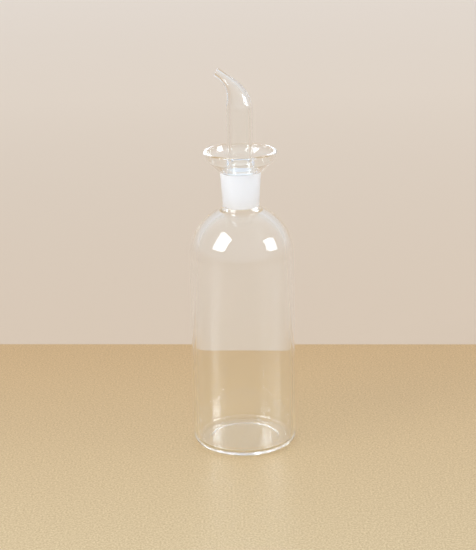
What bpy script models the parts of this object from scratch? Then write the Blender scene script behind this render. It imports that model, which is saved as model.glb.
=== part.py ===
"""Glass oil cruet with a drip dish.

Two pieces of clear borosilicate glass. The bottle is one blown piece: a round-heeled base, a
cylindrical body, a domed shoulder and a short neck that opens into a drip dish. The pourer is a
hollow ground plug that sits in the neck's tapered bore and runs up into a bent, tapering spout.

The cruet stands on z = 0 with its axis on +Z. The spout points to -X.
Lengths are in millimetres and become metres where the meshes are made.
"""
import math

import bmesh
import bpy
from mathutils import Vector

MM = 0.001

# Body
BODY_RADIUS = 30.0
WALL = 2.0
BASE_THICKNESS = 2.2
HEEL_RADIUS = 4.0
INNER_HEEL_RADIUS = 2.5
FOOT_INNER_RADIUS = 20.5
FOOT_RECESS = 0.4
FOOT_RECESS_RUN = 1.5
FOOT_ROUND = 0.6
SHOULDER_START = 113.6

# The wall thickens from THICK_FROM up to the shoulder, over a long soft bend
SHOULDER_WALL = 4.4
THICK_FROM = 64.0
THICK_ROUND = 400.0
INNER_DOME_Z = 114.2
INNER_NECK_FILLET = 4.0

# Neck and its ground bore, a 1 in 10 taper
NECK_RADIUS = 10.5
NECK_TOP_RADIUS = 11.75
NECK_TOP = 162.2
NECK_FILLET = 4.5
BORE_TOP_RADIUS = 9.65
BORE_SLOPE = 0.05
BORE_LENGTH = 18.5

# Drip dish: a cone that bends up into an upright side, a round lip, and a bowl inside
DISH_ROOT_RISE = 1.0
DISH_FLOOR_RUN = 11.9
DISH_FLOOR_ANGLE = 42.5
DISH_LIP_RADIUS = 20.9
DISH_TOP = 175.1
DISH_CURVE = 5.5
DISH_ROOT_FILLET = 1.0
LIP_WIDTH = 1.8
LIP_ROUND = 0.85
BOWL_SIDE_ANGLE = 77.0
BOWL_SIDE_DEPTH = 4.2
BOWL_CURVE = 8.0
BORE_MOUTH_ROUND = 0.6

# Pourer: heights are measured up from the plane of the bore's mouth
GROUND_GAP = 0.3
PLUG_LENGTH = 18.6
PLUG_TOP = 3.6
PLUG_WALL = 2.1
SHOULDER_RISE = 2.6
SHOULDER_ROUND = 1.7
TUBE_RADIUS = 7.4
TUBE_WALL = 1.95
TUBE_FILLET = 3.0

# Spout: its centre line is a cubic curve that leaves the tube upright and ends at the tip
BEND_START = 35.6
BEND_LEAD = 8.8
TIP_REACH = 12.35
TIP_RISE = 22.0
TIP_ANGLE = 34.0
TIP_LEAD = 11.4
TIP_RADIUS = 2.5
TIP_THROAT_RADIUS = 1.9
TIP_BORE_RADIUS = 1.3
TIP_THROAT_BORE_RADIUS = 0.9
TIP_ROUND = 0.5

# Mesh fineness
BOTTLE_SEGMENTS = 48
POURER_SEGMENTS = 28
ARC_STEP_DEG = 18.0
SHOULDER_STEP_DEG = 9.0
BEND_RINGS = 13


def arc(centre, radius, start_deg, end_deg, step_deg):
    """Points (r, z) along a circular arc, both ends included."""
    steps = max(2, math.ceil(abs(end_deg - start_deg) / step_deg))
    points = []
    for i in range(steps + 1):
        angle = math.radians(start_deg + (end_deg - start_deg) * i / steps)
        points.append((centre[0] + radius * math.cos(angle), centre[1] + radius * math.sin(angle)))
    return points


def rounded(corners):
    """An outline from corners (r, z, fillet radius), with an arc at each corner that has a fillet."""
    points = []
    for i, (r, z, fillet) in enumerate(corners):
        here = Vector((r, z))
        if fillet == 0 or i in (0, len(corners) - 1):
            points.append((r, z))
            continue
        back = (Vector(corners[i - 1][:2]) - here).normalized()
        ahead = (Vector(corners[i + 1][:2]) - here).normalized()
        half = back.angle(ahead) / 2
        centre = here + (back + ahead).normalized() * fillet / math.sin(half)
        first = here + back * fillet / math.tan(half) - centre
        last = here + ahead * fillet / math.tan(half) - centre
        start = math.degrees(math.atan2(first.y, first.x))
        turn = math.degrees(math.atan2(first.x * last.y - first.y * last.x, first.dot(last)))
        points.extend(arc(centre, fillet, start, start + turn, ARC_STEP_DEG))
    return points


def shoulder_outline(dome_z, dome_radius, neck_radius, fillet):
    """A domed shoulder centred at dome_z, and the fillet where it turns up into the neck."""
    fillet_r = neck_radius + fillet
    fillet_height = math.sqrt((dome_radius + fillet) ** 2 - fillet_r ** 2)
    meet = math.degrees(math.atan2(fillet_height, fillet_r))
    dome = arc((0, dome_z), dome_radius, 0, meet, SHOULDER_STEP_DEG)
    root = arc((fillet_r, dome_z + fillet_height), fillet, 180 + meet, 180, ARC_STEP_DEG)
    return dome + root[1:]


def dish_corners():
    """Corners of the dish: its outer side from the neck up, the lip, and its inner side down."""
    floor = math.radians(DISH_FLOOR_ANGLE)
    root_z = NECK_TOP + DISH_ROOT_RISE
    bend_r = NECK_TOP_RADIUS + DISH_FLOOR_RUN * math.cos(floor)
    bend_z = root_z + DISH_FLOOR_RUN * math.sin(floor)
    inner_lip_r = DISH_LIP_RADIUS - LIP_WIDTH
    bowl_r = inner_lip_r - BOWL_SIDE_DEPTH / math.tan(math.radians(BOWL_SIDE_ANGLE))
    bowl_z = DISH_TOP - BOWL_SIDE_DEPTH
    mouth_z = bowl_z - (bowl_r - BORE_TOP_RADIUS) * math.tan(floor)
    return [
        (NECK_TOP_RADIUS, root_z, DISH_ROOT_FILLET),
        (bend_r, bend_z, DISH_CURVE),
        (DISH_LIP_RADIUS, DISH_TOP, LIP_ROUND),
        (inner_lip_r, DISH_TOP, LIP_ROUND),
        (bowl_r, bowl_z, BOWL_CURVE),
        (BORE_TOP_RADIUS, mouth_z, BORE_MOUTH_ROUND),
    ]


def bore_corners():
    """Corners of the neck's bore: its upright mouth, and its tapered side down."""
    bottom_radius = BORE_TOP_RADIUS - BORE_SLOPE * BORE_LENGTH
    return [(BORE_TOP_RADIUS, NECK_TOP, 0), (bottom_radius, NECK_TOP - BORE_LENGTH, 0)]


def bottle_outline():
    """The bottle's closed outline, from the axis under the base round to the axis on the floor."""
    base = rounded([
        (0, FOOT_RECESS, 0),
        (FOOT_INNER_RADIUS - FOOT_RECESS_RUN, FOOT_RECESS, FOOT_ROUND),
        (FOOT_INNER_RADIUS, 0, FOOT_ROUND),
        (BODY_RADIUS, 0, HEEL_RADIUS),
        (BODY_RADIUS, SHOULDER_START, 0),
    ])
    outer_shoulder = shoulder_outline(SHOULDER_START, BODY_RADIUS, NECK_RADIUS, NECK_FILLET)
    top = rounded([(*outer_shoulder[-1], 0)] + dish_corners() + bore_corners())
    inner_dome = BODY_RADIUS - SHOULDER_WALL
    inner_shoulder = shoulder_outline(INNER_DOME_Z, inner_dome, top[-1][0], INNER_NECK_FILLET)
    floor = rounded([
        (inner_dome, INNER_DOME_Z, 0),
        (BODY_RADIUS - WALL, THICK_FROM, THICK_ROUND),
        (BODY_RADIUS - WALL, BASE_THICKNESS, INNER_HEEL_RADIUS),
        (0, BASE_THICKNESS, 0),
    ])
    return base + outer_shoulder[1:] + top[1:] + inner_shoulder[::-1] + floor[1:]


def plug_outline():
    """The pourer's outer side (r, height over the bore's mouth) from the plug's foot to the tube."""
    top_radius = BORE_TOP_RADIUS - GROUND_GAP
    foot_radius = top_radius - BORE_SLOPE * PLUG_LENGTH
    return rounded([
        (foot_radius, -PLUG_LENGTH + GROUND_GAP, 0),
        (top_radius, 0, 0),
        (top_radius, PLUG_TOP, SHOULDER_ROUND),
        (TUBE_RADIUS, PLUG_TOP + SHOULDER_RISE, TUBE_FILLET),
        (TUBE_RADIUS, BEND_START, 0),
    ])


def plug_bore_outline():
    """The pourer's bore (r, height over the bore's mouth) from the tube down to the plug's foot."""
    plug_bore = BORE_TOP_RADIUS - GROUND_GAP - PLUG_WALL
    tube_bore = TUBE_RADIUS - TUBE_WALL
    return rounded([
        (tube_bore, BEND_START, 0),
        (tube_bore, PLUG_TOP + SHOULDER_RISE, TUBE_FILLET),
        (plug_bore, PLUG_TOP - PLUG_WALL, SHOULDER_ROUND),
        (plug_bore - BORE_SLOPE * PLUG_LENGTH, -PLUG_LENGTH + GROUND_GAP, 0),
    ])


def cubic(controls, t):
    """A cubic curve's point and direction at t."""
    a, b, c, d = (Vector(control) for control in controls)
    u = 1 - t
    point = a * u ** 3 + b * 3 * u * u * t + c * 3 * u * t * t + d * t ** 3
    direction = (b - a) * u * u + (c - b) * 2 * u * t + (d - c) * t * t
    return point, direction


def spout_rings(side_radii):
    """Rings (centre, tilt, radius) up the bend, for radii (tube, throat, tip) of one side."""
    tube, throat, tip = side_radii
    angle = math.radians(TIP_ANGLE)
    end_z = BEND_START + TIP_RISE
    controls = [
        (0, BEND_START, tube),
        (0, BEND_START + BEND_LEAD, tube),
        (-TIP_REACH + TIP_LEAD * math.cos(angle), end_z - TIP_LEAD * math.sin(angle), throat),
        (-TIP_REACH, end_z, tip),
    ]
    rings = []
    for i in range(1, BEND_RINGS + 1):
        point, direction = cubic(controls, i / BEND_RINGS)
        tilt = math.atan2(-direction.x, direction.y)
        rings.append(((point.x, point.y), tilt, point.z))
    return rings


def tip_rings(tip):
    """The spout's rounded rim, from the outer side over to the bore."""
    (x, z), tilt, _ = tip
    rings = []
    middle = (TIP_RADIUS + TIP_BORE_RADIUS) / 2
    half_width = (TIP_RADIUS - TIP_BORE_RADIUS) / 2
    for across, along in arc((middle, 0), 1, 0, 180, 45)[1:-1]:
        radius = middle + (across - middle) * half_width
        lift = along * TIP_ROUND
        rings.append(((x - lift * math.sin(tilt), z + lift * math.cos(tilt)), tilt, radius))
    return rings


def pourer_rings():
    """All of the pourer's rings: up its outer side, over the tip, and down its bore."""
    bore = TUBE_RADIUS - TUBE_WALL
    outer = spout_rings((TUBE_RADIUS, TIP_THROAT_RADIUS, TIP_RADIUS))
    inner = spout_rings((bore, TIP_THROAT_BORE_RADIUS, TIP_BORE_RADIUS))
    rings = [((0, z), 0, r) for r, z in plug_outline()]
    rings += outer + tip_rings(outer[-1]) + list(reversed(inner))
    rings += [((0, z), 0, r) for r, z in plug_bore_outline()]
    return rings


def add_ring(mesh, centre, tilt, radius, segments):
    """A circle of vertices round (x, z), tilted towards -X."""
    ring = []
    for j in range(segments):
        angle = 2 * math.pi * j / segments
        across = radius * math.cos(angle)
        x = centre[0] + across * math.cos(tilt)
        y = radius * math.sin(angle)
        z = centre[1] + across * math.sin(tilt)
        ring.append(mesh.verts.new((x * MM, y * MM, z * MM)))
    return ring


def bridge(mesh, lower, upper):
    """Quads between two rings of the same number of vertices."""
    count = len(lower)
    for j in range(count):
        k = (j + 1) % count
        mesh.faces.new((lower[j], lower[k], upper[k], upper[j]))


def lathe_mesh(name, outline, segments):
    """A turned solid whose outline starts and ends on the axis."""
    mesh = bmesh.new()
    start = mesh.verts.new((0, 0, outline[0][1] * MM))
    end = mesh.verts.new((0, 0, outline[-1][1] * MM))
    rings = [add_ring(mesh, (0, z), 0, r, segments) for r, z in outline[1:-1]]
    for lower, upper in zip(rings, rings[1:]):
        bridge(mesh, lower, upper)
    for j in range(segments):
        k = (j + 1) % segments
        mesh.faces.new((start, rings[0][k], rings[0][j]))
        mesh.faces.new((end, rings[-1][j], rings[-1][k]))
    return finish_mesh(name, mesh)


def pourer_mesh(name):
    """The pourer: its rings joined up one side and down the other, and closed at the plug's foot."""
    mesh = bmesh.new()
    rings = [add_ring(mesh, *ring, POURER_SEGMENTS) for ring in pourer_rings()]
    for lower, upper in zip(rings, rings[1:] + rings[:1]):
        bridge(mesh, lower, upper)
    return finish_mesh(name, mesh)


def finish_mesh(name, mesh):
    """Turn a bmesh into mesh data, smooth apart from its sharp edges."""
    data = bpy.data.meshes.new(name)
    mesh.to_mesh(data)
    mesh.free()
    data.shade_smooth()
    data.set_sharp_from_angle(angle=math.radians(35))
    return data


def glass(name, tint, roughness):
    """Clear borosilicate glass."""
    material = bpy.data.materials.new(name)
    material.use_nodes = True
    shader = material.node_tree.nodes["Principled BSDF"]
    shader.inputs["Base Color"].default_value = (*tint, 1)
    shader.inputs["Roughness"].default_value = roughness
    shader.inputs["Metallic"].default_value = 0
    shader.inputs["Transmission Weight"].default_value = 1
    shader.inputs["IOR"].default_value = 1.47
    return material


def add_piece(name, data, material, parent, height):
    """One named piece of the cruet, standing at its height on the axis."""
    data.materials.append(material)
    piece = bpy.data.objects.new(name, data)
    piece.location = (0, 0, height * MM)
    piece.parent = parent
    bpy.context.scene.collection.objects.link(piece)
    return piece


def main():
    for old in list(bpy.data.objects):
        bpy.data.objects.remove(old, do_unlink=True)
    cruet = bpy.data.objects.new("cruet", None)
    bpy.context.scene.collection.objects.link(cruet)
    bottle_glass = glass("bottle_glass", (0.95, 0.96, 0.95), 0.03)
    pourer_glass = glass("pourer_glass", (0.96, 0.97, 0.97), 0.06)
    bottle = lathe_mesh("bottle", bottle_outline(), BOTTLE_SEGMENTS)
    add_piece("bottle", bottle, bottle_glass, cruet, 0)
    add_piece("pourer", pourer_mesh("pourer"), pourer_glass, cruet, NECK_TOP)


main()
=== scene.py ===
"""The looks of the glass oil cruet: polished and ground glass, a pale table and a soft studio."""
import math

import bmesh
import bpy
from mathutils import Matrix, Vector


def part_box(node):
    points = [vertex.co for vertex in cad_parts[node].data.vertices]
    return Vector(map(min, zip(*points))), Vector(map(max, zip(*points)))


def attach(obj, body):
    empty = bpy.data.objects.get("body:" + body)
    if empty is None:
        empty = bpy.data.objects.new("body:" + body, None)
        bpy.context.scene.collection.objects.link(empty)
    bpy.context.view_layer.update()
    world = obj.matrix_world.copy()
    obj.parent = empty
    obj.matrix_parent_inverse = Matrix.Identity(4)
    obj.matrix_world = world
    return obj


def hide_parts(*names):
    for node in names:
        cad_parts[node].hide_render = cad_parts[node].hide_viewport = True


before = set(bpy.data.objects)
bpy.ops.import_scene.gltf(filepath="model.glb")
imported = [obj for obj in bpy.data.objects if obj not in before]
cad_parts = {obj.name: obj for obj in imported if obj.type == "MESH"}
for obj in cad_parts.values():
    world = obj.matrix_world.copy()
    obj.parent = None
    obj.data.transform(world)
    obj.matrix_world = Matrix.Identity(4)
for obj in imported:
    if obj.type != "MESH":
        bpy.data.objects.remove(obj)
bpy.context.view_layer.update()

MM = 0.001

# The frame's boxes are in metres.
bottle_low, bottle_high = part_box("bottle")
pourer_low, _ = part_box("pourer")

# Everything below is in millimetres, in the frame of the CAD, unless it says otherwise.

# Bottle: a turned solid, with its widths given as radii
BODY_RADIUS = (bottle_high[0] - bottle_low[0]) / 2 / MM
DISH_TOP = bottle_high[2] / MM
WALL = 2.0
SHOULDER_WALL = 4.4
THICK_FROM = 64.0
THICK_ROUND = 400.0
BASE_THICKNESS = 2.2
HEEL_RADIUS = 4.0
INNER_HEEL_RADIUS = 2.5
FOOT_INNER_RADIUS = 20.5
FOOT_RECESS = 0.4
FOOT_RECESS_RUN = 1.5
FOOT_ROUND = 0.6
SHOULDER_START = 113.6
NECK_RADIUS = 10.5
NECK_TOP_RADIUS = 11.75
NECK_TOP = 162.2
NECK_FILLET = 4.5
INNER_DOME_Z = 114.2
INNER_NECK_FILLET = 4.0
BORE_TOP_RADIUS = 9.65
BORE_SLOPE = 0.05
BORE_LENGTH = 18.5
GROUND_BELOW_BORE = 1.0
DISH_ROOT_RISE = 1.0
DISH_FLOOR_RUN = 11.9
DISH_FLOOR_ANGLE = 42.5
DISH_LIP_RADIUS = 20.9
DISH_CURVE = 5.5
DISH_ROOT_FILLET = 1.0
LIP_WIDTH = 1.8
LIP_ROUND = 0.85
BOWL_SIDE_ANGLE = 77.0
BOWL_SIDE_DEPTH = 4.2
BOWL_CURVE = 8.0
BORE_MOUTH_ROUND = 0.6

# Pourer: its heights, and the bend's, are measured up from NECK_TOP
GROUND_GAP = 0.3
PLUG_FOOT = pourer_low[2] / MM - NECK_TOP
PLUG_TOP = 3.6
PLUG_WALL = 2.1
SHOULDER_RISE = 2.6
SHOULDER_ROUND = 1.7
GROUND_ABOVE_NECK = 0.6
TUBE_RADIUS = 7.4
TUBE_WALL = 1.95
TUBE_FILLET = 3.0
BEND_START = 35.6
BEND_LEAD = 8.8
TIP_REACH = 12.35
TIP_RISE = 22.0
TIP_ANGLE = 34.0
TIP_LEAD = 11.4
TIP_RADIUS = 2.5
TIP_THROAT_RADIUS = 1.9
TIP_BORE_RADIUS = 1.3
TIP_THROAT_BORE_RADIUS = 0.9
TIP_ROUND = 0.5

# Mesh fineness
SEGMENTS = 160
ARC_STEP_DEG = 4.0
DOME_STEP_DEG = 2.0
TIP_STEP_DEG = 18.0
BEND_RINGS = 56
SHARP_DEG = 40.0

# Camera: a long lens that looks down at the cruet, in the 476 by 550 frame
FRAME_HEIGHT_PX = 550
FOCAL_PX = 1545.0
SENSOR_MM = 36.0
CAMERA_AT = (-2.5, -853.0, 366.3)
CAMERA_PITCH_DEG = 17.24
CAMERA_ROLL_DEG = 1.1
CAMERA_REACH = 20000.0

# Table: a sheet a hair below the foot, with its far edge behind the cruet, on a paler floor
TABLE_GAP = 0.05
TABLE_FAR = 164.0
TABLE_FAR_SLOPE = -0.0575
TABLE_SIDE = 210.0
TABLE_NEAR = -230.0
# Painted light: from here to the near edge the table has its full paler near colour, a painted pool of
# softbox light and sheen.
TABLE_PAINTED_LIGHT_NEAR = -150.0
FLOOR_DROP = 0.6
FLOOR_REACH = 6000.0
FLOOR_FAR = 2200.0

# Glass: a noise's scale is its count per metre, and a relief's depth is in metres
GLASS_IOR = 1.47
WAVE_SCALE = 28.0
WAVE_STRENGTH = 0.012
WAVE_DEPTH = 0.002
TINT_SCALE = 60.0
CLEAR_TINT = ((0.3, (0.985, 0.992, 0.988)), (0.7, (0.995, 0.998, 0.996)))
SMEAR_SCALE = 90.0
SMEAR_ROUGHNESS = (0.0, 0.008)
GRAIN_SCALE = 2600.0
GRAIN_STRENGTH = 0.5
GRAIN_DEPTH = 0.0002
CLOUD_SCALE = 180.0
GROUND_TINT = ((0.3, (0.936, 0.958, 0.988)), (0.7, (0.952, 0.972, 0.996)))
GROUND_ROUGHNESS = (0.7, 0.9)
GROUND_CLEARNESS = 0.06

# Table and floor: linear colours, each with its place on a scale from 0 to 1
FIBRE_SCALE = 900.0
FIBRE_STRENGTH = 0.25
FIBRE_DEPTH = 0.0003
# Painted light: the table's near colour is paler than its far colour, a painted pool of softbox light
# and sheen.
FAR_PAPER = ((0.37, (0.375, 0.227, 0.086)), (0.63, (0.585, 0.385, 0.169)))
NEAR_PAPER_PAINTED_LIGHT = ((0.37, (0.428, 0.310, 0.162)), (0.63, (0.648, 0.522, 0.306)))
PAPER_ROUGHNESS = (0.26, 0.38)
MOTTLE_SCALE = 3.0
FLOOR_ROUGHNESS = (0.45, 0.55)
# Painted light: the floor's colour is darker near the table and paler far off, against the lamps'
# falloff with distance.
FLOOR_PAINTED_LIGHT_TONES = (
    (0.0, (0.542, 0.428, 0.313)),
    (0.5, (0.709, 0.600, 0.482)),
    (1.0, (0.757, 0.662, 0.559)),
)

# Softboxes: each by its centre and its two sides as vectors, with a soft and a sparkling lamp
LEFT_SOFTBOX = ((-687, -493, 700), (81, -571, 132), (389, 171, 500))
RIGHT_SOFTBOX = ((903, -190, 487), (186, 365, -40), (-87, 84, 365))
SOFT_RADIANCE = 3.03
SOFT_COLOUR = (1.0, 1.0, 1.0)
SPARKLE_RADIANCE = 9.0
SPARKLE_COLOUR = (0.75, 0.88, 1.0)
SPARKLE_BEHIND = 5.0

# Studio: its linear colours from the dim side, 0, to the bright side, 1
BRIGHT_SIDE = (0.0, -0.6, 0.8)
STUDIO_GLOW = (
    (0.3, (0.60, 0.56, 0.52)),
    (0.6, (0.74, 0.755, 0.79)),
    (0.95, (0.95, 0.985, 1.06)),
)
STUDIO_STRENGTH = 1.205

# Light paths: glass that carries light along its wall needs very many bounces
GLASS_BOUNCES = 256
DIFFUSE_BOUNCES = 32

# Material slots of both pieces, and how far off a ground face's radius may be
CLEAR = 0
GROUND = 1
GROUND_TOLERANCE = 0.1


def arc(centre, radius, start_deg, end_deg, step_deg):
    """Points (r, z) along a circular arc, both ends included."""
    steps = max(2, math.ceil(abs(end_deg - start_deg) / step_deg))
    points = []
    for i in range(steps + 1):
        angle = math.radians(start_deg + (end_deg - start_deg) * i / steps)
        points.append((centre[0] + radius * math.cos(angle), centre[1] + radius * math.sin(angle)))
    return points


def rounded(corners):
    """An outline from corners (r, z, fillet radius), with an arc at each corner that has a fillet."""
    points = []
    for i, (r, z, fillet) in enumerate(corners):
        here = Vector((r, z))
        if fillet == 0 or i in (0, len(corners) - 1):
            points.append((r, z))
            continue
        back = (Vector(corners[i - 1][:2]) - here).normalized()
        ahead = (Vector(corners[i + 1][:2]) - here).normalized()
        half = back.angle(ahead) / 2
        centre = here + (back + ahead).normalized() * fillet / math.sin(half)
        first = here + back * fillet / math.tan(half) - centre
        last = here + ahead * fillet / math.tan(half) - centre
        start = math.degrees(math.atan2(first.y, first.x))
        turn = math.degrees(math.atan2(first.x * last.y - first.y * last.x, first.dot(last)))
        points.extend(arc(centre, fillet, start, start + turn, ARC_STEP_DEG))
    return points


def shoulder_outline(dome_z, dome_radius, neck_radius, fillet):
    """A domed shoulder centred at dome_z, and the fillet where it turns up into the neck."""
    fillet_r = neck_radius + fillet
    fillet_height = math.sqrt((dome_radius + fillet) ** 2 - fillet_r ** 2)
    meet = math.degrees(math.atan2(fillet_height, fillet_r))
    dome = arc((0, dome_z), dome_radius, 0, meet, DOME_STEP_DEG)
    root = arc((fillet_r, dome_z + fillet_height), fillet, 180 + meet, 180, ARC_STEP_DEG)
    return dome + root[1:]


def dish_corners():
    """Corners of the dish: its outer side from the neck up, the lip, and its inner side down."""
    floor = math.radians(DISH_FLOOR_ANGLE)
    root_z = NECK_TOP + DISH_ROOT_RISE
    bend_r = NECK_TOP_RADIUS + DISH_FLOOR_RUN * math.cos(floor)
    bend_z = root_z + DISH_FLOOR_RUN * math.sin(floor)
    inner_lip_r = DISH_LIP_RADIUS - LIP_WIDTH
    bowl_r = inner_lip_r - BOWL_SIDE_DEPTH / math.tan(math.radians(BOWL_SIDE_ANGLE))
    bowl_z = DISH_TOP - BOWL_SIDE_DEPTH
    mouth_z = bowl_z - (bowl_r - BORE_TOP_RADIUS) * math.tan(floor)
    return [
        (NECK_TOP_RADIUS, root_z, DISH_ROOT_FILLET),
        (bend_r, bend_z, DISH_CURVE),
        (DISH_LIP_RADIUS, DISH_TOP, LIP_ROUND),
        (inner_lip_r, DISH_TOP, LIP_ROUND),
        (bowl_r, bowl_z, BOWL_CURVE),
        (BORE_TOP_RADIUS, mouth_z, BORE_MOUTH_ROUND),
    ]


def bore_corners():
    """Corners of the neck's bore: its upright mouth, its tapered side, and where the grinding ends."""
    bottom_radius = BORE_TOP_RADIUS - BORE_SLOPE * BORE_LENGTH
    return [
        (BORE_TOP_RADIUS, NECK_TOP, 0),
        (bottom_radius, NECK_TOP - BORE_LENGTH, 0),
        (bottom_radius, NECK_TOP - BORE_LENGTH - GROUND_BELOW_BORE, 0),
    ]


def bottle_outline():
    """The bottle's closed outline, from the axis under the base round to the axis on the floor."""
    base = rounded([
        (0, FOOT_RECESS, 0),
        (FOOT_INNER_RADIUS - FOOT_RECESS_RUN, FOOT_RECESS, FOOT_ROUND),
        (FOOT_INNER_RADIUS, 0, FOOT_ROUND),
        (BODY_RADIUS, 0, HEEL_RADIUS),
        (BODY_RADIUS, SHOULDER_START, 0),
    ])
    outer_shoulder = shoulder_outline(SHOULDER_START, BODY_RADIUS, NECK_RADIUS, NECK_FILLET)
    top = rounded([(*outer_shoulder[-1], 0)] + dish_corners() + bore_corners())
    inner_dome = BODY_RADIUS - SHOULDER_WALL
    inner_shoulder = shoulder_outline(INNER_DOME_Z, inner_dome, top[-1][0], INNER_NECK_FILLET)
    floor = rounded([
        (inner_dome, INNER_DOME_Z, 0),
        (BODY_RADIUS - WALL, THICK_FROM, THICK_ROUND),
        (BODY_RADIUS - WALL, BASE_THICKNESS, INNER_HEEL_RADIUS),
        (0, BASE_THICKNESS, 0),
    ])
    return base + outer_shoulder[1:] + top[1:] + inner_shoulder[::-1] + floor[1:]


def plug_outline():
    """The pourer's outer side (r, height over NECK_TOP) from the plug's foot to the tube."""
    top_radius = BORE_TOP_RADIUS - GROUND_GAP
    return rounded([
        (top_radius + BORE_SLOPE * PLUG_FOOT, PLUG_FOOT, 0),
        (top_radius, 0, 0),
        (top_radius, PLUG_TOP, SHOULDER_ROUND),
        (TUBE_RADIUS, PLUG_TOP + SHOULDER_RISE, TUBE_FILLET),
        (TUBE_RADIUS, BEND_START, 0),
    ])


def plug_bore_outline():
    """The pourer's bore (r, height over NECK_TOP) from the tube down to the plug's foot."""
    plug_bore = BORE_TOP_RADIUS - GROUND_GAP - PLUG_WALL
    tube_bore = TUBE_RADIUS - TUBE_WALL
    return rounded([
        (tube_bore, BEND_START, 0),
        (tube_bore, PLUG_TOP + SHOULDER_RISE, TUBE_FILLET),
        (plug_bore, PLUG_TOP - PLUG_WALL, SHOULDER_ROUND),
        (plug_bore + BORE_SLOPE * PLUG_FOOT, PLUG_FOOT, 0),
    ])


def cubic(controls, t):
    """A cubic curve's point and direction at t."""
    a, b, c, d = (Vector(control) for control in controls)
    u = 1 - t
    point = a * u ** 3 + b * 3 * u * u * t + c * 3 * u * t * t + d * t ** 3
    direction = (b - a) * u * u + (c - b) * 2 * u * t + (d - c) * t * t
    return point, direction


def spout_rings(side_radii):
    """Rings (centre, tilt, radius) up the bend, for radii (tube, throat, tip) of one side."""
    tube, throat, tip = side_radii
    angle = math.radians(TIP_ANGLE)
    end_z = BEND_START + TIP_RISE
    controls = [
        (0, BEND_START, tube),
        (0, BEND_START + BEND_LEAD, tube),
        (-TIP_REACH + TIP_LEAD * math.cos(angle), end_z - TIP_LEAD * math.sin(angle), throat),
        (-TIP_REACH, end_z, tip),
    ]
    rings = []
    for i in range(1, BEND_RINGS + 1):
        point, direction = cubic(controls, i / BEND_RINGS)
        tilt = math.atan2(-direction.x, direction.y)
        rings.append(((point.x, point.y), tilt, point.z))
    return rings


def tip_rings(tip):
    """The spout's rounded rim, from the outer side over to the bore."""
    (x, z), tilt, _ = tip
    rings = []
    middle = (TIP_RADIUS + TIP_BORE_RADIUS) / 2
    half_width = (TIP_RADIUS - TIP_BORE_RADIUS) / 2
    for across, along in arc((middle, 0), 1, 0, 180, TIP_STEP_DEG)[1:-1]:
        radius = middle + (across - middle) * half_width
        lift = along * TIP_ROUND
        rings.append(((x - lift * math.sin(tilt), z + lift * math.cos(tilt)), tilt, radius))
    return rings


def pourer_rings():
    """All of the pourer's rings: up its outer side, over the tip, and down its bore."""
    bore = TUBE_RADIUS - TUBE_WALL
    outer = spout_rings((TUBE_RADIUS, TIP_THROAT_RADIUS, TIP_RADIUS))
    inner = spout_rings((bore, TIP_THROAT_BORE_RADIUS, TIP_BORE_RADIUS))
    rings = [((0, z), 0, r) for r, z in plug_outline()]
    rings += outer + tip_rings(outer[-1]) + inner[::-1]
    rings += [((0, z), 0, r) for r, z in plug_bore_outline()]
    return rings


def add_ring(mesh, centre, tilt, radius, lift):
    """A circle of vertices round (x, z), raised by lift and tilted towards -X."""
    ring = []
    for j in range(SEGMENTS):
        angle = 2 * math.pi * j / SEGMENTS
        across = radius * math.cos(angle)
        x = centre[0] + across * math.cos(tilt)
        y = radius * math.sin(angle)
        z = centre[1] + across * math.sin(tilt) + lift
        ring.append(mesh.verts.new((x * MM, y * MM, z * MM)))
    return ring


def bridge(mesh, lower, upper):
    """Quads between two rings of the same number of vertices."""
    count = len(lower)
    for j in range(count):
        k = (j + 1) % count
        mesh.faces.new((lower[j], lower[k], upper[k], upper[j]))


def bottle_mesh():
    """The bottle as one turned solid."""
    outline = bottle_outline()
    mesh = bmesh.new()
    start = mesh.verts.new((0, 0, outline[0][1] * MM))
    end = mesh.verts.new((0, 0, outline[-1][1] * MM))
    rings = [add_ring(mesh, (0, z), 0, r, 0) for r, z in outline[1:-1]]
    for lower, upper in zip(rings, rings[1:]):
        bridge(mesh, lower, upper)
    for j in range(SEGMENTS):
        k = (j + 1) % SEGMENTS
        mesh.faces.new((start, rings[0][k], rings[0][j]))
        mesh.faces.new((end, rings[-1][j], rings[-1][k]))
    return mesh


def pourer_mesh():
    """The pourer as one tube whose two sides meet at the tip and at the plug's foot."""
    mesh = bmesh.new()
    rings = [add_ring(mesh, *ring, NECK_TOP) for ring in pourer_rings()]
    for lower, upper in zip(rings, rings[1:] + rings[:1]):
        bridge(mesh, lower, upper)
    return mesh


def add_piece(name, mesh, materials, is_ground):
    """A piece from a bmesh, smooth, clear where it is polished and ground where is_ground says."""
    data = bpy.data.meshes.new(name)
    mesh.to_mesh(data)
    mesh.free()
    for material in materials:
        data.materials.append(material)
    for face in data.polygons:
        r = math.hypot(face.center.x, face.center.y) / MM
        face.material_index = GROUND if is_ground(r, face.center.z / MM) else CLEAR
    data.shade_smooth()
    data.set_sharp_from_angle(angle=math.radians(SHARP_DEG))
    piece = bpy.data.objects.new(name, data)
    bpy.context.scene.collection.objects.link(piece)
    return piece


def bore_is_ground(r, z):
    """True on the ground bore inside the bottle's neck."""
    bottom = NECK_TOP - BORE_LENGTH - GROUND_BELOW_BORE
    return r < BORE_TOP_RADIUS + GROUND_TOLERANCE and bottom < z < NECK_TOP + DISH_ROOT_RISE


def plug_is_ground(r, z):
    """True on the ground outside of the pourer's plug."""
    return z < NECK_TOP + GROUND_ABOVE_NECK and r > TUBE_RADIUS - GROUND_TOLERANCE


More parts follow.
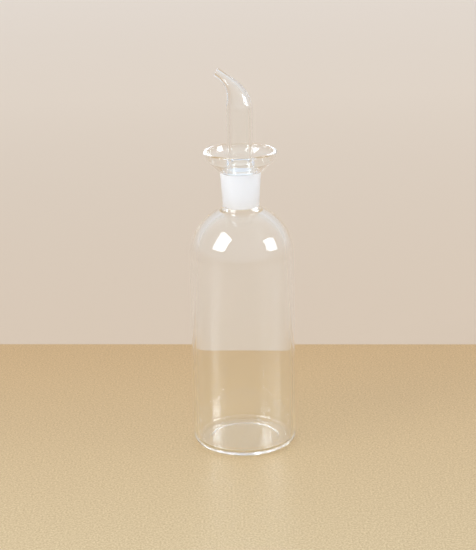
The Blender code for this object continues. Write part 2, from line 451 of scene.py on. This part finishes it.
class Nodes:
    """A short way to add shader nodes to one tree."""

    def __init__(self, tree):
        self.tree = tree

    def add(self, kind, **values):
        node = self.tree.nodes.new(kind)
        for key, value in values.items():
            setattr(node, key, value)
        return node

    def link(self, source, target):
        self.tree.links.new(source, target)

    def noise(self, coords, scale, detail, roughness=0.5):
        """Layered noise, a factor from 0 to 1."""
        node = self.add("ShaderNodeTexNoise")
        node.inputs["Scale"].default_value = scale
        node.inputs["Detail"].default_value = detail
        node.inputs["Roughness"].default_value = roughness
        self.link(coords, node.inputs["Vector"])
        return node.outputs["Fac"]

    def ramp(self, fac, stops):
        """A colour blended between stops (place, colour)."""
        node = self.add("ShaderNodeValToRGB")
        ramp = node.color_ramp
        while len(ramp.elements) < len(stops):
            ramp.elements.new(1.0)
        for element, (place, colour) in zip(ramp.elements, stops):
            element.position = place
            element.color = (*colour, 1)
        self.link(fac, node.inputs["Fac"])
        return node.outputs["Color"]

    def span(self, fac, low, high):
        """A factor from 0 to 1 spread from low to high."""
        node = self.add("ShaderNodeMapRange")
        node.inputs["To Min"].default_value = low
        node.inputs["To Max"].default_value = high
        self.link(fac, node.inputs["Value"])
        return node.outputs["Result"]

    def along(self, coords, axis, low, high):
        """A factor from 0 to 1 along an axis, from low to high in millimetres."""
        split = self.add("ShaderNodeSeparateXYZ")
        self.link(coords, split.inputs["Vector"])
        node = self.add("ShaderNodeMapRange")
        node.inputs["From Min"].default_value = low * MM
        node.inputs["From Max"].default_value = high * MM
        self.link(split.outputs[axis], node.inputs["Value"])
        return node.outputs["Result"]

    def mix(self, fac, first, second):
        """A colour that turns from first, at 0, to second, at 1."""
        node = self.add("ShaderNodeMix", data_type="RGBA")
        self.link(fac, node.inputs["Factor"])
        self.link(first, node.inputs["A"])
        self.link(second, node.inputs["B"])
        return node.outputs["Result"]

    def bump(self, height, strength, distance):
        """A normal turned by a relief of the given height factor, distance metres deep."""
        node = self.add("ShaderNodeBump")
        node.inputs["Strength"].default_value = strength
        node.inputs["Distance"].default_value = distance
        self.link(height, node.inputs["Height"])
        return node.outputs["Normal"]


def new_material(name):
    """A material with its Principled shader, a node helper and its object's coordinates."""
    material = bpy.data.materials.new(name)
    material.use_nodes = True
    nodes = Nodes(material.node_tree)
    place = nodes.add("ShaderNodeTexCoord").outputs["Object"]
    return material, material.node_tree.nodes["Principled BSDF"], nodes, place


def clear_glass(name):
    """Fire-polished borosilicate glass with the faint waves of hand work."""
    material, shader, nodes, place = new_material(name)
    waves = nodes.noise(place, WAVE_SCALE, detail=1.0)
    nodes.link(nodes.bump(waves, WAVE_STRENGTH, WAVE_DEPTH), shader.inputs["Normal"])
    tint = nodes.ramp(nodes.noise(place, TINT_SCALE, detail=2.0), CLEAR_TINT)
    nodes.link(tint, shader.inputs["Base Color"])
    smears = nodes.noise(place, SMEAR_SCALE, detail=3.0)
    nodes.link(nodes.span(smears, *SMEAR_ROUGHNESS), shader.inputs["Roughness"])
    shader.inputs["Transmission Weight"].default_value = 1.0
    shader.inputs["IOR"].default_value = GLASS_IOR
    return material


def ground_glass(name):
    """Glass ground matt: a fine white grain that scatters the light."""
    material, shader, nodes, place = new_material(name)
    grain = nodes.noise(place, GRAIN_SCALE, detail=3.0, roughness=0.7)
    nodes.link(nodes.bump(grain, GRAIN_STRENGTH, GRAIN_DEPTH), shader.inputs["Normal"])
    clouds = nodes.noise(place, CLOUD_SCALE, detail=3.0)
    nodes.link(nodes.ramp(clouds, GROUND_TINT), shader.inputs["Base Color"])
    nodes.link(nodes.span(clouds, *GROUND_ROUGHNESS), shader.inputs["Roughness"])
    shader.inputs["Transmission Weight"].default_value = GROUND_CLEARNESS
    shader.inputs["IOR"].default_value = GLASS_IOR
    return material


def table_material():
    """Pale brown paper board with a fine fibre grain, painted paler towards its near side: a painted
    pool of softbox light and sheen.
    """
    material, shader, nodes, place = new_material("table_paper")
    fibres = nodes.noise(place, FIBRE_SCALE, detail=4.0, roughness=0.75)
    # Painted light: the paler near colour paints the softbox light and sheen on the table's near side.
    painted_light = nodes.ramp(fibres, NEAR_PAPER_PAINTED_LIGHT)
    far_paper = nodes.ramp(fibres, FAR_PAPER)
    depth = nodes.along(place, "Y", TABLE_PAINTED_LIGHT_NEAR, TABLE_FAR)
    nodes.link(nodes.mix(depth, painted_light, far_paper), shader.inputs["Base Color"])
    nodes.link(nodes.bump(fibres, FIBRE_STRENGTH, FIBRE_DEPTH), shader.inputs["Normal"])
    nodes.link(nodes.span(fibres, *PAPER_ROUGHNESS), shader.inputs["Roughness"])
    return material


def floor_material():
    """The floor beyond the table, painted paler with distance: painted light against the lamps'
    falloff.
    """
    material, shader, nodes, place = new_material("pale_floor")
    mottle = nodes.noise(place, MOTTLE_SCALE, detail=2.0)
    nodes.link(nodes.span(mottle, *FLOOR_ROUGHNESS), shader.inputs["Roughness"])
    # Painted light: paler with distance, against the lamps' falloff.
    depth = nodes.along(place, "Y", 0.0, FLOOR_FAR)
    nodes.link(nodes.ramp(depth, FLOOR_PAINTED_LIGHT_TONES), shader.inputs["Base Color"])
    return material


def add_flat(name, corners, height, material):
    """A flat stage sheet from its corners (x, y)."""
    points = [(x * MM, y * MM, height * MM) for x, y in corners]
    data = bpy.data.meshes.new(name)
    data.from_pydata(points, [], [tuple(range(len(points)))])
    data.materials.append(material)
    sheet = bpy.data.objects.new(name, data)
    bpy.context.scene.collection.objects.link(sheet)


def add_stage():
    """The table sheet and the floor round it."""
    far_left = TABLE_FAR - TABLE_SIDE * TABLE_FAR_SLOPE
    far_right = TABLE_FAR + TABLE_SIDE * TABLE_FAR_SLOPE
    table = [
        (-TABLE_SIDE, TABLE_NEAR),
        (TABLE_SIDE, TABLE_NEAR),
        (TABLE_SIDE, far_right),
        (-TABLE_SIDE, far_left),
    ]
    add_flat("table_sheet", table, -TABLE_GAP, table_material())
    reach = FLOOR_REACH
    floor = [(-reach, -reach), (reach, -reach), (reach, reach), (-reach, reach)]
    add_flat("floor", floor, -FLOOR_DROP, floor_material())


def hide_from_diffuse(lamp):
    """Keep a lamp's light off matt surfaces, both directly and through the glass."""
    lamp.visible_diffuse = False
    lamp.data.use_nodes = True
    nodes = Nodes(lamp.data.node_tree)
    # The depth counts whole bounces, so a half parts none from one.
    before_matt = nodes.add("ShaderNodeMath", operation="LESS_THAN")
    before_matt.inputs[1].default_value = 0.5
    nodes.link(nodes.add("ShaderNodeLightPath").outputs["Diffuse Depth"], before_matt.inputs[0])
    nodes.link(before_matt.outputs["Value"], lamp.data.node_tree.nodes["Emission"].inputs["Strength"])


def add_softbox(name, box):
    """A softbox that faces the cruet.

    Its soft lamp lights everything. Just behind it, the sparkle lamp adds to what polished glass
    and sheen mirror, and leaves paper and ground glass as they are.
    """
    centre, across, upward = (Vector(vector) for vector in box)
    x_axis = across.normalized()
    z_axis = x_axis.cross(upward).normalized()
    if z_axis.dot(centre) < 0:
        x_axis = -x_axis
        z_axis = -z_axis
    turn = Matrix((x_axis, z_axis.cross(x_axis), z_axis)).transposed().to_4x4()
    area = across.length * upward.length * MM * MM
    lamps = [
        ("soft", SOFT_RADIANCE, SOFT_COLOUR),
        ("sparkle", SPARKLE_RADIANCE, SPARKLE_COLOUR),
    ]
    for part, radiance, colour in lamps:
        light = bpy.data.lights.new(f"{name}_{part}", "AREA")
        light.shape = "RECTANGLE"
        light.size = across.length * MM
        light.size_y = upward.length * MM
        light.energy = math.pi * area * radiance
        light.color = colour
        lamp = bpy.data.objects.new(light.name, light)
        lamp.matrix_world = Matrix.Translation(centre * MM) @ turn
        bpy.context.scene.collection.objects.link(lamp)
        if part == "sparkle":
            lamp.matrix_world.translation += z_axis * SPARKLE_BEHIND * MM
            hide_from_diffuse(lamp)


def add_lights():
    """Two softboxes in front, above left and right, in a pale studio that is brighter overhead."""
    add_softbox("softbox_left", LEFT_SOFTBOX)
    add_softbox("softbox_right", RIGHT_SOFTBOX)
    world = bpy.data.worlds.new("studio")
    bpy.context.scene.world = world
    world.use_nodes = True
    nodes = Nodes(world.node_tree)
    direction = nodes.add("ShaderNodeTexCoord").outputs["Generated"]
    towards_bright = nodes.add("ShaderNodeVectorMath", operation="DOT_PRODUCT")
    towards_bright.inputs[1].default_value = BRIGHT_SIDE
    nodes.link(direction, towards_bright.inputs[0])
    # The product runs from -1 to 1, and the ramp from 0 to 1.
    spread = nodes.add("ShaderNodeMapRange")
    spread.inputs["From Min"].default_value = -1.0
    nodes.link(towards_bright.outputs["Value"], spread.inputs["Value"])
    background = world.node_tree.nodes["Background"]
    nodes.link(nodes.ramp(spread.outputs["Result"], STUDIO_GLOW), background.inputs["Color"])
    background.inputs["Strength"].default_value = STUDIO_STRENGTH


def add_camera():
    """The camera, pitched down and very slightly rolled."""
    camera = bpy.data.cameras.new("camera")
    camera.sensor_width = SENSOR_MM
    camera.lens = SENSOR_MM * FOCAL_PX / FRAME_HEIGHT_PX
    camera.clip_end = CAMERA_REACH * MM
    eye = bpy.data.objects.new("camera", camera)
    pitch = Matrix.Rotation(math.radians(90 - CAMERA_PITCH_DEG), 4, "X")
    roll = Matrix.Rotation(math.radians(-CAMERA_ROLL_DEG), 4, "Z")
    eye.matrix_world = Matrix.Translation(Vector(CAMERA_AT) * MM) @ pitch @ roll
    bpy.context.scene.collection.objects.link(eye)
    bpy.context.scene.camera = eye


def add_cruet():
    """The two glass pieces, which stand for the CAD nodes."""
    materials = [clear_glass("clear_glass"), ground_glass("ground_glass")]
    bottle = add_piece("cruet_bottle", bottle_mesh(), materials, bore_is_ground)
    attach(bottle, "root")
    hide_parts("bottle")
    pourer = add_piece("cruet_pourer", pourer_mesh(), materials, plug_is_ground)
    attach(pourer, "root")
    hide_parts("pourer")


def set_view_and_light_paths():
    """Plain sRGB output, so that pale tones stay pale, and paths long enough for stacked glass."""
    scene = bpy.context.scene
    scene.view_settings.view_transform = "Standard"
    scene.view_settings.look = "None"
    scene.cycles.max_bounces = GLASS_BOUNCES
    scene.cycles.transmission_bounces = GLASS_BOUNCES
    scene.cycles.glossy_bounces = GLASS_BOUNCES
    scene.cycles.diffuse_bounces = DIFFUSE_BOUNCES
    scene.cycles.blur_glossy = 0


add_cruet()
add_stage()
add_lights()
add_camera()
set_view_and_light_paths()
bpy.context.view_layer.update()
